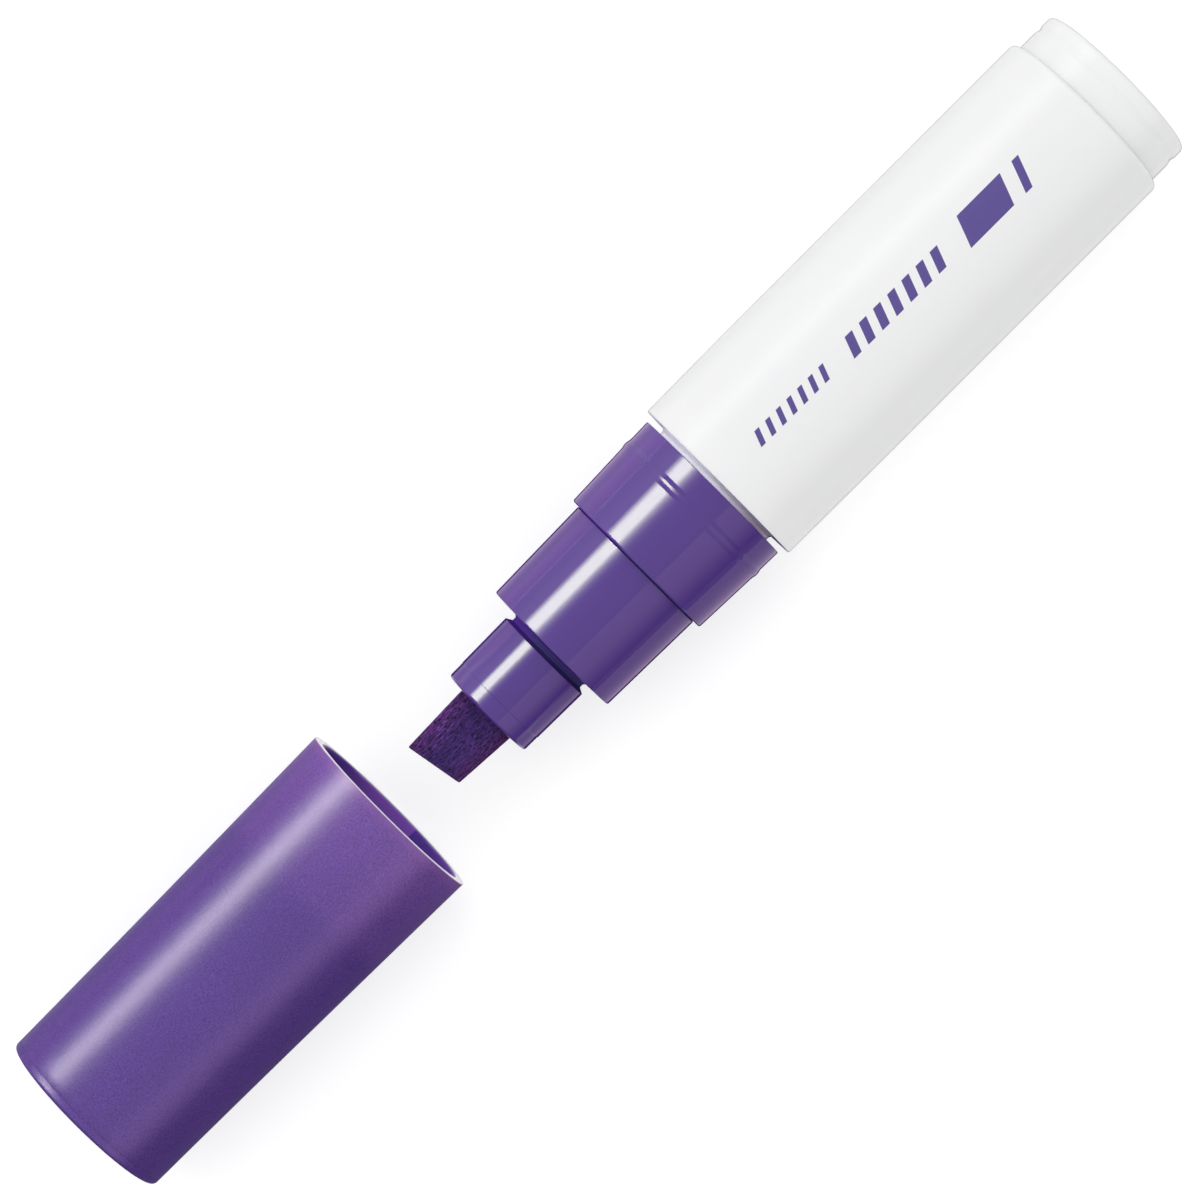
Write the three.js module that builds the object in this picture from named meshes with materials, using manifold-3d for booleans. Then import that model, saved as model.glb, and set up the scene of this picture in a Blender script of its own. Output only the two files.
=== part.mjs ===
// A refillable pump-action paint marker with a wide chisel nib, its cap pulled off and lying in line.
// Millimetres. +X runs from the cap to the tail, +Z is up, and the marker lies along the ground.
// Every piece is drawn about the marker's own axis, with x = 0 at the barrel's front shoulder.
// The group is then lifted and centred, so that its origin is the middle of its footprint.

import * as THREE from 'three';
import { mergeVertices } from 'three/addons/utils/BufferGeometryUtils.js';
import Module from 'manifold-3d';

const wasm = await Module();
wasm.setup();

// Barrel: a white moulded tube with a shoulder and a neck in front, open behind
const barrelRadius = 13.12;
const barrelDraft = 0.1;
const barrelDraftLength = 17;
const barrelLength = 67.3;
const barrelWall = 1.62;
const barrelFrontFillet = 0.22;
const barrelRearFillet = 0.85;
const shoulderThickness = 2.2;
const shoulderCone = 2.0;
const neckWall = 1.7;
const neckEdge = 0.3;
const neckFlare = 0.25;
const neckFlareLength = 0.45;

// Tail plug: the bottom of the reservoir, with a groove and a bead that hold the cap when it is put there
const tailStep = 0.97;
const tailLength = 5.85;
const tailFillet = 0.75;
const tailGrooveStart = 3.1;
const tailGrooveLength = 0.85;
const tailGrooveDepth = 0.16;
const tailEndWall = 1.8;
const tailSpigotLength = 6.5;
const tailSpigotWall = 1.9;
const tailSpigotLeadIn = 0.6;

// Collar: the screw ring that clamps the front unit on the neck, with the snap bead for the cap
const collarLength = 14.08;
const collarStandOff = 0.96;
const collarFrontRadius = 11.62;
const collarTaper = 0.33;
const collarRearDraft = 0.06;
const collarWall = 1.57;
const collarFrontFillet = 0.33;
const collarWebThickness = 2.3;
const collarMouthChamfer = 0.25;
const beadFromRear = 3.97;
const beadLength = 1.6;
const beadHeight = 0.1;

// Tip housing: the sleeve in front of the collar
const housingLength = 15.22;
const housingStep = 1.04;
const housingTaper = 0.29;
const housingWall = 1.34;
const housingEdge = 0.16;
const housingFrontWall = 2.0;

// Nozzle: the holder of the nib, snapped through the front wall of the tip housing
const nozzleLength = 10.49;
const nozzleWall = 1.87;
const nozzleTipLength = 2.4;
const nozzleTipTaper = 0.17;
const nozzleStep = 0.07;
const nozzleChamfer = 0.28;
const nozzleNeckDepth = 0.82;
const nozzleNeckLength = 1.43;
const nozzleRearCone = 0.45;
const nozzleNeckFlare = 0.3;
const spigotStep = 0.3;
const snapBeadHeight = 0.45;
const snapBeadLength = 0.9;

// Nib: a flat slab of bonded fibre with an end cut at a slant
const nibLength = 26.9;
const nibExposed = 10.31;
const nibWidth = 8.8;
const nibTaper = 0.6;
const nibThickness = 4.2;
const nibSlant = THREE.MathUtils.degToRad(10);
const nibRake = THREE.MathUtils.degToRad(16);
const nibEdge = 0.3;

// Valve: body, plunger, seal washer, spring and spring retainer
const valveFlangeThickness = 1.5;
const valveTubeWall = 1.5;
const valveSkirtWall = 1.6;
const valveSkirtEnd = 2.0;
const seatWallThickness = 2.2;
const seatPortRadius = 2.2;
const seatLipRadius = 3.3;
const seatLipWidth = 0.7;
const seatLipHeight = 0.4;
const stemLength = 7.4;
const stemFluteWidth = 0.9;
const stemFluteDepth = 0.75;
const washerWidth = 2.3;
const washerThickness = 0.9;
const headThickness = 1.2;
const guidePinGap = 1.05;
const guidePinLength = 3.6;
const guidePinEdge = 0.3;
const springWire = 0.7;
const springTurns = 6;
const paintGap = 2.5;
const retainerWall = 1.1;
const retainerDepth = 3.9;
const retainerFloor = 1.2;
const retainerFlangeThickness = 1.0;
const retainerWindows = 4;
const retainerWindowWidth = 2.0;
const retainerBossHeight = 1.5;

// Gaskets
const neckGasketThickness = 0.8;
const nozzleGasketThickness = 1.0;
const gasketEdgeShare = 0.12;

// Mixing balls, loose in the reservoir
const ballRadius = 4;
const frontBallPlace = 22;
const rearBallPlace = 45;

// Cap and the liner that closes round the nozzle inside it
const capMouthWall = 1.39;
const capTaper = 0.74;
const capFlare = 1.3;
const capEndFillet = 1.1;
const capEndWall = 1.5;
const capWall = 1.65;
const capMouthEdge = 0.22;
const capSnapBoreDepth = 16.4;
const capBoreCone = 2.2;
const linerWall = 1.2;
const linerBase = 1.2;
const linerOverlap = 6.2;
const linerLip = 0.25;
const capStandOff = 7.57;

// Clearances
const slidingGap = 0.3;
const pressGap = 0.2;
const seatGap = 0.15;
const capSeatGap = 0.3;
const capBoreGap = 0.1;
const tipClearance = 0.83;

// How far a cutting shape runs past the face that it cuts through
const overcut = 1;

// How finely each kind of curve is drawn
const outerFacets = 28;
const innerFacets = 28;
const smallFacets = 24;
const ballFacets = 16;
const ballRings = 10;
const edgeSteps = 2;
const filletSteps = 3;
const endFilletSteps = 4;
const springStepsPerTurn = 12;
const beadProfile = [-1, -0.5, 0, 0.5, 1];
const capProfile = [0.25, 0.5, 0.7, 0.85];

// Colours
const purple = 0x5c4595;
const white = 0xf0f0f2;
const naturalWhite = 0xdfe0e6;
const feltPurple = 0x3c2a5c;
const rubberGrey = 0x3a3a40;
const steel = 0xb8bcc4;

// Places along the axis, worked out from the barrel's shoulder forwards
const collarRear = -collarStandOff;
const collarFront = collarRear - collarLength;
const housingRear = collarFront - slidingGap;
const housingFront = housingRear - housingLength;
const nozzleRear = housingFront - nozzleNeckLength;
const nozzleFront = nozzleRear - nozzleLength;
const nibTip = nozzleFront - nibExposed;
const nibRear = nibTip + nibLength;
const webRear = collarFront + collarWebThickness;
const flangeFront = webRear + slidingGap;
const flangeRear = flangeFront + valveFlangeThickness;
const neckEnd = flangeRear + neckGasketThickness + 2 * seatGap;
const housingWallRear = housingFront + housingFrontWall;
const valveFront = housingWallRear + nozzleGasketThickness + 2 * seatGap;
const stemTip = nibRear + seatGap;
const headFront = stemTip + stemLength;
const washerFront = headFront - washerThickness - seatGap;
const seatRear = washerFront - seatGap - seatLipHeight;
const seatFront = seatRear - seatWallThickness;
const headRear = headFront + headThickness;
const skirtEnd = -valveSkirtEnd;
const retainerFlangeFront = skirtEnd + seatGap;
const retainerFront = retainerFlangeFront - retainerDepth;

// Places behind the shoulder
const barrelRear = barrelLength;
const tailFront = barrelRear + seatGap;
const tailRear = tailFront + tailLength;

// Radii from the nib outwards: the nozzle has one wall round the corners of the nib's slot
const nibTipWidth = nibWidth - nibTaper;
const slotWidth = nibWidth + 2 * pressGap;
const slotHeight = nibThickness + 2 * pressGap;
const nozzleRadius = Math.hypot(slotWidth, slotHeight) / 2 + nozzleWall;
const nozzleTipRadius = nozzleRadius - nozzleTipTaper;
const nozzleNeckRadius = nozzleRadius - nozzleNeckDepth;
const spigotRadius = nozzleNeckRadius - spigotStep;
const linerBore = nozzleRadius + slidingGap;
const linerRadius = linerBore + linerWall;

// Radii from the collar inwards: housing, neck, valve body, spring
const housingRearRadius = collarFrontRadius - housingStep;
const housingFrontRadius = housingRearRadius - housingTaper;
const housingBore = housingFrontRadius - housingWall;
const valveTubeRadius = housingBore - pressGap;
const nibChamberRadius = valveTubeRadius - valveTubeWall;
const webBore = valveTubeRadius + slidingGap;
const collarBore = collarFrontRadius - collarWall;
const flangeRadius = collarBore - slidingGap;
const neckRadius = collarBore - slidingGap;
const neckBore = neckRadius - neckWall;
const skirtRadius = neckBore - slidingGap;
const chamberRadius = skirtRadius - valveSkirtWall;
const retainerRadius = chamberRadius - pressGap;
const springCoilRadius = chamberRadius - paintGap - springWire / 2;
const guidePinRadius = springCoilRadius - springWire / 2 - guidePinGap;
const stemRadius = seatPortRadius - slidingGap;
const washerBore = stemRadius + pressGap;
const washerRadius = washerBore + washerWidth;

// Radii from the collar outwards, and those of the barrel and the tail
const collarBeadBase = collarFrontRadius + collarTaper;
const collarRearRadius = collarBeadBase + collarRearDraft;
const beadRadius = collarBeadBase + beadHeight;
const capBore = beadRadius + capBoreGap;
const capMouthRadius = capBore + capMouthWall;
const capEndRadius = capMouthRadius - capTaper;
const barrelFrontRadius = barrelRadius - barrelDraft;
const reservoirRadius = barrelRadius - barrelWall;
const tailRadius = barrelRadius - tailStep;

// The cap is as long as the front unit that it covers
const capSeatedMouth = -capSeatGap;
const capLength = capSeatedMouth - nibTip + tipClearance + linerBase + seatGap + capEndWall;
const capMouth = nibTip - capStandOff;
const capEnd = capMouth - capLength;

// Turns an outline of [x, radius] points about the marker's axis.
// The facets are set so that one lies flat underneath.
function turned(outline, facets) {
  const points = outline.map(([x, radius]) => new THREE.Vector2(radius, x));
  if (THREE.ShapeUtils.area(points) < 0) {
    points.reverse();
  }
  const onAxis = points[0].x === 0 && points[points.length - 1].x === 0;
  if (!onAxis) {
    points.push(points[0].clone());
  }
  const geometry = new THREE.LatheGeometry(points, facets, Math.PI / facets);
  return geometry.rotateZ(-Math.PI / 2);
}

// Points on a quarter round between a face and a wall, from angle to angle, in [x, radius]
function round(centreX, centreRadius, radius, fromDegrees, toDegrees, steps) {
  return Array.from({ length: steps + 1 }, (_, step) => {
    const angle = THREE.MathUtils.degToRad(fromDegrees + ((toDegrees - fromDegrees) * step) / steps);
    return [centreX + radius * Math.cos(angle), centreRadius + radius * Math.sin(angle)];
  });
}

// A closed mesh as a solid that can be cut and joined
function toSolid(geometry) {
  const bare = geometry.clone();
  bare.deleteAttribute('normal');
  bare.deleteAttribute('uv');
  const merged = mergeVertices(bare, 1e-4);
  const corners = merged.index.array;
  const triVerts = [];
  for (let i = 0; i < corners.length; i += 3) {
    const [a, b, c] = corners.slice(i, i + 3);
    if (a !== b && b !== c && c !== a) {
      triVerts.push(a, b, c);
    }
  }
  const vertProperties = new Float32Array(merged.attributes.position.array);
  const mesh = new wasm.Mesh({ numProp: 3, vertProperties, triVerts: new Uint32Array(triVerts) });
  return new wasm.Manifold(mesh);
}

function toGeometry(solid) {
  const { vertProperties, triVerts } = solid.getMesh();
  const geometry = new THREE.BufferGeometry();
  geometry.setAttribute('position', new THREE.BufferAttribute(vertProperties, 3));
  geometry.setIndex(new THREE.BufferAttribute(triVerts, 1));
  geometry.computeVertexNormals();
  return geometry;
}

// A rounded rectangle in the plane across the axis, run from one x to another
function slab(fromX, toX, width, height, corner) {
  const shape = new THREE.Shape();
  const w = width / 2;
  const h = height / 2;
  shape.moveTo(-w + corner, -h);
  shape.lineTo(w - corner, -h);
  shape.absarc(w - corner, -h + corner, corner, -Math.PI / 2, 0);
  shape.lineTo(w, h - corner);
  shape.absarc(w - corner, h - corner, corner, 0, Math.PI / 2);
  shape.lineTo(-w + corner, h);
  shape.absarc(-w + corner, h - corner, corner, Math.PI / 2, Math.PI);
  shape.lineTo(-w, -h + corner);
  shape.absarc(-w + corner, -h + corner, corner, Math.PI, 1.5 * Math.PI);
  const geometry = new THREE.ExtrudeGeometry(shape, {
    depth: toX - fromX,
    bevelEnabled: false,
    curveSegments: filletSteps,
  });
  // The shape's x becomes +Y, its y becomes +Z and its depth +X
  const turn = new THREE.Matrix4().makeBasis(
    new THREE.Vector3(0, 1, 0),
    new THREE.Vector3(0, 0, 1),
    new THREE.Vector3(1, 0, 0),
  );
  return geometry.applyMatrix4(turn).translate(fromX, 0, 0);
}

function material(color, roughness, metalness = 0) {
  return new THREE.MeshStandardMaterial({ color, roughness, metalness });
}

function piece(name, geometry, look) {
  const mesh = new THREE.Mesh(geometry, look);
  mesh.name = name;
  return mesh;
}

function makeBarrel() {
  const frontCentre = [barrelFrontFillet, barrelFrontRadius - barrelFrontFillet];
  const rearCentre = [barrelRear - barrelRearFillet, barrelRadius - barrelRearFillet];
  const outline = [
    [neckEnd, neckBore],
    [neckEnd, neckRadius - neckEdge],
    [neckEnd + neckEdge, neckRadius],
    [-neckFlareLength, neckRadius],
    [0, neckRadius + neckFlare],
    ...round(...frontCentre, barrelFrontFillet, 180, 90, edgeSteps),
    [barrelDraftLength, barrelRadius],
    ...round(...rearCentre, barrelRearFillet, 90, 0, endFilletSteps),
    [barrelRear, reservoirRadius],
    [shoulderThickness + shoulderCone, reservoirRadius],
    [shoulderThickness, neckBore],
  ];
  return piece('barrel', turned(outline, outerFacets), material(white, 0.32));
}

function makeTailPlug() {
  const spigotRadiusHere = reservoirRadius - pressGap;
  const spigotBore = spigotRadiusHere - tailSpigotWall;
  const spigotFront = tailFront - tailSpigotLength;
  const grooveFront = tailFront + tailGrooveStart;
  const grooveRear = grooveFront + tailGrooveLength;
  const grooveRadius = tailRadius - tailGrooveDepth;
  const outline = [
    [tailRear, 0],
    ...round(tailRear - tailFillet, tailRadius - tailFillet, tailFillet, 0, 90, filletSteps),
    [grooveRear + tailGrooveDepth, tailRadius],
    [grooveRear, grooveRadius],
    [grooveFront, grooveRadius],
    [grooveFront - tailGrooveDepth, tailRadius],
    [tailFront, tailRadius],
    [tailFront, spigotRadiusHere],
    [spigotFront + tailSpigotLeadIn, spigotRadiusHere],
    [spigotFront, spigotRadiusHere - tailSpigotLeadIn],
    [spigotFront, spigotBore],
    [tailRear - tailEndWall, spigotBore],
    [tailRear - tailEndWall, 0],
  ];
  return piece('tail_plug', turned(outline, outerFacets), material(white, 0.35));
}

function makeCollar() {
  const filletEnd = collarFront + collarFrontFillet;
  const beadMiddle = collarRear - beadFromRear;
  const atBead = (share) => [
    beadMiddle + (share * beadLength) / 2,
    collarBeadBase + beadHeight * Math.cos((share * Math.PI) / 2),
  ];
  const outline = [
    [collarFront, webBore],
    ...round(filletEnd, collarFrontRadius - collarFrontFillet, collarFrontFillet, 180, 90, filletSteps),
    ...beadProfile.map(atBead),
    [collarRear, collarRearRadius],
    [collarRear, collarBore + collarMouthChamfer],
    [collarRear - collarMouthChamfer, collarBore],
    [webRear, collarBore],
    [webRear, webBore],
  ];
  return piece('front_collar', turned(outline, outerFacets), material(purple, 0.18));
}

function makeTipHousing() {
  const spigotHole = spigotRadius + pressGap;
  const outline = [
    [housingFront, spigotHole],
    ...round(housingFront + housingEdge, housingFrontRadius - housingEdge, housingEdge, 180, 90, edgeSteps),
    ...round(housingRear - housingEdge, housingRearRadius - housingEdge, housingEdge, 90, 0, edgeSteps),
    [housingRear, housingBore],
    [housingWallRear, housingBore],
    [housingWallRear, spigotHole],
  ];
  return piece('tip_housing', turned(outline, outerFacets), material(purple, 0.16));
}

function makeNozzle() {
  const stepPlace = nozzleFront + nozzleTipLength;
  const beadFront = housingWallRear + seatGap;
  const beadRear = beadFront + snapBeadLength;
  const outline = [
    [nozzleFront, 0],
    [nozzleFront, nozzleTipRadius - nozzleChamfer],
    [nozzleFront + nozzleChamfer, nozzleTipRadius],
    [stepPlace, nozzleTipRadius],
    [stepPlace + nozzleStep, nozzleTipRadius + nozzleStep],
    [nozzleRear, nozzleRadius],
    [nozzleRear + nozzleRearCone, nozzleNeckRadius],
    [housingFront - seatGap - nozzleNeckFlare, nozzleNeckRadius],
    [housingFront - seatGap, nozzleNeckRadius + nozzleNeckFlare],
    [housingFront - seatGap, spigotRadius],
    [beadFront, spigotRadius],
    [beadFront + snapBeadLength / 3, spigotRadius + snapBeadHeight],
    [beadRear, spigotRadius],
    [beadRear, 0],
  ];
  const slot = slab(nozzleFront - overcut, beadRear + overcut, slotWidth, slotHeight, nibEdge + pressGap);
  const solid = toSolid(turned(outline, outerFacets)).subtract(toSolid(slot));
  return piece('nozzle', toGeometry(solid), material(purple, 0.14));
}

function makeNib() {
  const halfRear = nibWidth / 2;
  const halfTip = nibTipWidth / 2;
  const setBack = nibTipWidth * Math.tan(nibSlant);
  // The plan of the slab: straight in the nozzle, drawn in a little towards the slanted end
  const plan = new THREE.Shape();
  plan.moveTo(nibRear - nibEdge, -halfRear + nibEdge);
  plan.lineTo(nibRear - nibEdge, halfRear - nibEdge);
  plan.lineTo(nozzleFront, halfRear - nibEdge);
  plan.lineTo(nibTip + nibEdge, halfTip - nibEdge);
  plan.lineTo(nibTip + setBack + nibEdge, -halfTip + nibEdge);
  plan.lineTo(nozzleFront, -halfRear + nibEdge);
  const body = new THREE.ExtrudeGeometry(plan, {
    depth: nibThickness - 2 * nibEdge,
    bevelThickness: nibEdge,
    bevelSize: nibEdge,
    bevelSegments: edgeSteps,
  });
  body.translate(0, 0, nibEdge - nibThickness / 2);
  // The end face leans back underneath, so that the upper edge leads
  const reach = nibTipWidth * 2;
  const cutter = new THREE.BoxGeometry(reach, reach * 2, reach);
  cutter.translate(-reach / 2, 0, 0);
  cutter.rotateZ(nibSlant);
  const lean = new THREE.Matrix4().makeShear(0, 0, 0, 0, -Math.tan(nibRake), 0);
  cutter.applyMatrix4(lean);
  cutter.translate(nibTip + setBack / 2, 0, nibThickness / 2);
  const solid = toSolid(body).subtract(toSolid(cutter));
  return piece('nib', toGeometry(solid), material(feltPurple, 0.95));
}

function makeValveBody() {
  const lipOuter = seatLipRadius + seatLipWidth / 2;
  const lipInner = seatLipRadius - seatLipWidth / 2;
  const outline = [
    [valveFront, nibChamberRadius],
    [valveFront, valveTubeRadius],
    [flangeFront, valveTubeRadius],
    [flangeFront, flangeRadius],
    [flangeRear, flangeRadius],
    [flangeRear, skirtRadius],
    [skirtEnd, skirtRadius],
    [skirtEnd, chamberRadius],
    [seatRear, chamberRadius],
    [seatRear, lipOuter],
    [seatRear + seatLipHeight, seatLipRadius],
    [seatRear, lipInner],
    [seatRear, seatPortRadius],
    [seatFront, seatPortRadius],
    [seatFront, nibChamberRadius],
  ];
  return piece('valve_body', turned(outline, innerFacets), material(naturalWhite, 0.45));
}

function makeValvePlunger() {
  const outline = [
    [stemTip, 0],
    [stemTip, stemRadius],
    [headFront, stemRadius],
    [headFront, washerRadius],
    [headRear, washerRadius],
    [headRear, guidePinRadius],
    [headRear + guidePinLength - guidePinEdge, guidePinRadius],
    [headRear + guidePinLength, guidePinRadius - guidePinEdge],
    [headRear + guidePinLength, 0],
  ];
  let solid = toSolid(turned(outline, smallFacets));
  // Four flutes let the paint past the stem to the nib
  const fluteEnd = washerFront - seatGap;
  for (const quarter of [0, 1, 2, 3]) {
    const flute = new THREE.BoxGeometry(fluteEnd - stemTip + overcut, stemFluteWidth, stemFluteDepth * 2);
    flute.translate((fluteEnd + stemTip - overcut) / 2, 0, stemRadius);
    flute.rotateX(Math.PI / 4 + (quarter * Math.PI) / 2);
    solid = solid.subtract(toSolid(flute));
  }
  return piece('valve_plunger', toGeometry(solid), material(naturalWhite, 0.4));
}

function ring(name, front, rear, innerRadius, outerRadius, facets, look) {
  const edge = (outerRadius - innerRadius) * gasketEdgeShare;
  const outline = [
    [front, innerRadius],
    [front, outerRadius - edge],
    [front + edge, outerRadius],
    [rear - edge, outerRadius],
    [rear, outerRadius - edge],
    [rear, innerRadius],
  ];
  return piece(name, turned(outline, facets), look);
}

function makeValveWasher() {
  return ring('valve_washer', washerFront, washerFront + washerThickness, washerBore, washerRadius,
    smallFacets, material(rubberGrey, 0.8));
}

function makeNeckGasket() {
  const front = flangeRear + seatGap;
  return ring('neck_gasket', front, front + neckGasketThickness, neckBore, neckRadius,
    innerFacets, material(rubberGrey, 0.8));
}

function makeNozzleGasket() {
  const front = housingWallRear + seatGap;
  const bore = spigotRadius + snapBeadHeight + slidingGap;
  return ring('nozzle_gasket', front, front + nozzleGasketThickness, bore, housingBore - pressGap,
    innerFacets, material(rubberGrey, 0.8));
}

// The wire's middle line, a plain helix about the marker's axis
class Helix extends THREE.Curve {
  constructor(front, rear, radius, turns) {
    super();
    Object.assign(this, { front, rear, radius, turns });
  }

  getPoint(t, target = new THREE.Vector3()) {
    const angle = 2 * Math.PI * this.turns * t;
    const x = this.front + (this.rear - this.front) * t;
    return target.set(x, this.radius * Math.cos(angle), this.radius * Math.sin(angle));
  }
}

function makeValveSpring() {
  const half = springWire / 2 + seatGap;
  const path = new Helix(headRear + half, retainerFront - half, springCoilRadius, springTurns);
  const section = new THREE.Shape();
  section.absarc(0, 0, springWire / 2, 0, 2 * Math.PI);
  const geometry = new THREE.ExtrudeGeometry(section, {
    extrudePath: path,
    steps: springTurns * springStepsPerTurn,
    curveSegments: filletSteps,
    bevelEnabled: false,
  });
  return piece('valve_spring', geometry, material(steel, 0.3, 1));
}

function makeSpringRetainer() {
  const flangeRearHere = retainerFlangeFront + retainerFlangeThickness;
  const bore = retainerRadius - retainerWall;
  const outline = [
    [retainerFront - retainerBossHeight, 0],
    [retainerFront - retainerBossHeight, guidePinRadius],
    [retainerFront, guidePinRadius],
    [retainerFront, retainerRadius],
    [retainerFlangeFront, retainerRadius],
    [retainerFlangeFront, skirtRadius],
    [flangeRearHere, skirtRadius],
    [flangeRearHere, bore],
    [retainerFront + retainerFloor, bore],
    [retainerFront + retainerFloor, 0],
  ];
  let solid = toSolid(turned(outline, innerFacets));
  // Paint runs in through windows round the foot of the cup, outside the spring's seat
  const windowInner = springCoilRadius + springWire;
  const windowRear = retainerFlangeFront - retainerFloor;
  for (let i = 0; i < retainerWindows; i += 1) {
    const length = windowRear - retainerFront + overcut;
    const opening = new THREE.BoxGeometry(length, retainerWindowWidth, retainerRadius);
    opening.translate(retainerFront - overcut + length / 2, 0, windowInner + retainerRadius / 2);
    opening.rotateX((i * 2 * Math.PI) / retainerWindows);
    solid = solid.subtract(toSolid(opening));
  }
  return piece('spring_retainer', toGeometry(solid), material(naturalWhite, 0.45));
}

function makeBall(name, place) {
  const restHeight = -(reservoirRadius * Math.cos(Math.PI / outerFacets) - ballRadius - seatGap);
  const sphere = new THREE.SphereGeometry(ballRadius, ballFacets, ballRings);
  const mesh = piece(name, sphere, material(steel, 0.15, 1));
  mesh.position.set(place, 0, restHeight);
  return mesh;
}

function makeCapShell() {
  const snapEnd = capMouth - capSnapBoreDepth;
  const endFace = capEnd + capEndWall;
  // The outside opens towards the mouth, a little faster as it goes
  const outsideAt = (share) => [
    capEnd + capLength * share,
    capEndRadius + (capMouthRadius - capEndRadius) * share ** capFlare,
  ];
  const [boreFoot, footRadius] = outsideAt(1 - (capSnapBoreDepth + capBoreCone) / capLength);
  const outline = [
    [capEnd, 0],
    ...round(capEnd + capEndFillet, capEndRadius - capEndFillet, capEndFillet, 180, 90, endFilletSteps),
    ...capProfile.map(outsideAt),
    ...round(capMouth - capMouthEdge, capMouthRadius - capMouthEdge, capMouthEdge, 90, 0, edgeSteps),
    [capMouth, capBore + capMouthEdge],
    [capMouth - capMouthEdge, capBore],
    [snapEnd, capBore],
    [boreFoot, footRadius - capWall],
    [endFace, capEndRadius - capWall],
    [endFace, 0],
  ];
  return piece('cap_shell', turned(outline, outerFacets), material(purple, 0.38));
}

function makeCapLiner() {
  const baseFront = capEnd + capEndWall + seatGap;
  const baseRear = baseFront + linerBase;
  const nozzleFrontWhenSeated = capMouth - (capSeatedMouth - nozzleFront);
  const rim = nozzleFrontWhenSeated + linerOverlap;
  const flange = capEndRadius - capWall - pressGap;
  const outline = [
    [baseFront, 0],
    [baseFront, flange],
    [baseRear, flange],
    [baseRear, linerRadius],
    [rim, linerRadius],
    [rim, linerBore + linerLip],
    [rim - linerLip, linerBore],
    [baseRear, linerBore],
    [baseRear, 0],
  ];
  return piece('cap_liner', turned(outline, innerFacets), material(naturalWhite, 0.5));
}

const marker = new THREE.Group();
marker.add(
  makeBarrel(),
  makeTailPlug(),
  makeBall('mixing_ball_front', frontBallPlace),
  makeBall('mixing_ball_rear', rearBallPlace),
  makeCollar(),
  makeTipHousing(),
  makeNozzle(),
  makeNib(),
  makeValveBody(),
  makeValvePlunger(),
  makeValveWasher(),
  makeValveSpring(),
  makeSpringRetainer(),
  makeNeckGasket(),
  makeNozzleGasket(),
  makeCapShell(),
  makeCapLiner(),
);

// The flat facet under the cap's mouth is the lowest thing, so it stands on the ground
const groundRadius = Math.max(capMouthRadius, barrelRadius) * Math.cos(Math.PI / outerFacets);
marker.position.set(-(capEnd + tailRear) / 2, 0, groundRadius);

export default marker;
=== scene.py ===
# Looks for a refillable paint marker with a wide chisel nib, its cap pulled off and lying in line.
# Lengths in the dictionaries are in millimetres, measured from the barrel's front shoulder along
# the marker's own axis (forwards is negative) and outwards from that axis.
import math

import bmesh
import bpy
from mathutils import Matrix, Vector, noise


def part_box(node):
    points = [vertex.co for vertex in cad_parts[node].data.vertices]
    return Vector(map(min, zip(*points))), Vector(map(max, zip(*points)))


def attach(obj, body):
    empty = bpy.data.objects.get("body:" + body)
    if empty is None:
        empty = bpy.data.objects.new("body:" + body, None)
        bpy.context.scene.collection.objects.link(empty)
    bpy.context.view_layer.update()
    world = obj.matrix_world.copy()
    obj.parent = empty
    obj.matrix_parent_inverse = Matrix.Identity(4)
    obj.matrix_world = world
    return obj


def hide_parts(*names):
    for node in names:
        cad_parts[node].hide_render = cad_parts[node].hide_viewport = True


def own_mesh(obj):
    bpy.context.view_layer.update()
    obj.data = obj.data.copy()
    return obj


print("stage: load the frame")
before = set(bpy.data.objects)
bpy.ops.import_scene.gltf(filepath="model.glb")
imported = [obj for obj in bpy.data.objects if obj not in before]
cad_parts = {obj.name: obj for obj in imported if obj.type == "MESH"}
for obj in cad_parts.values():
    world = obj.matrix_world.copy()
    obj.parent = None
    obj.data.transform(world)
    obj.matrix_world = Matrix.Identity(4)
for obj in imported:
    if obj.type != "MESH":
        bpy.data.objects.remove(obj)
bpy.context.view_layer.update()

mm = 0.001
barrelLength = 67.3
barrelLow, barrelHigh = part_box("barrel")
markerAxis = Vector((barrelHigh.x - barrelLength * mm, 0, (barrelLow.z + barrelHigh.z) / 2))


# Shapes

# Skins a list of rings, each a list of points in millimetres about the marker's axis
def skin(name, rings, closed=False, capEnds=False, sharpAngle=28):
    build = bmesh.new()
    rows = [[build.verts.new([c * mm for c in point]) for point in ring] for ring in rings]
    for first, second in zip(rows, rows[1:] + (rows[:1] if closed else [])):
        for i in range(max(len(first), len(second))):
            corners = [first[i % len(first)], first[(i + 1) % len(first)],
                       second[(i + 1) % len(second)], second[i % len(second)]]
            corners = list(dict.fromkeys(corners))
            if len(corners) > 2:
                build.faces.new(corners)
    if capEnds:
        build.faces.new(rows[0])
        build.faces.new(rows[-1])
    bmesh.ops.recalc_face_normals(build, faces=build.faces)
    mesh = bpy.data.meshes.new(name)
    build.to_mesh(mesh)
    build.free()
    piece = bpy.data.objects.new(name, mesh)
    piece.location = markerAxis
    bpy.context.scene.collection.objects.link(piece)
    smooth(piece, sharpAngle)
    return piece


def smooth(piece, sharpAngle):
    piece.data.shade_smooth()
    piece.data.set_sharp_from_angle(angle=math.radians(sharpAngle))


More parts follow.
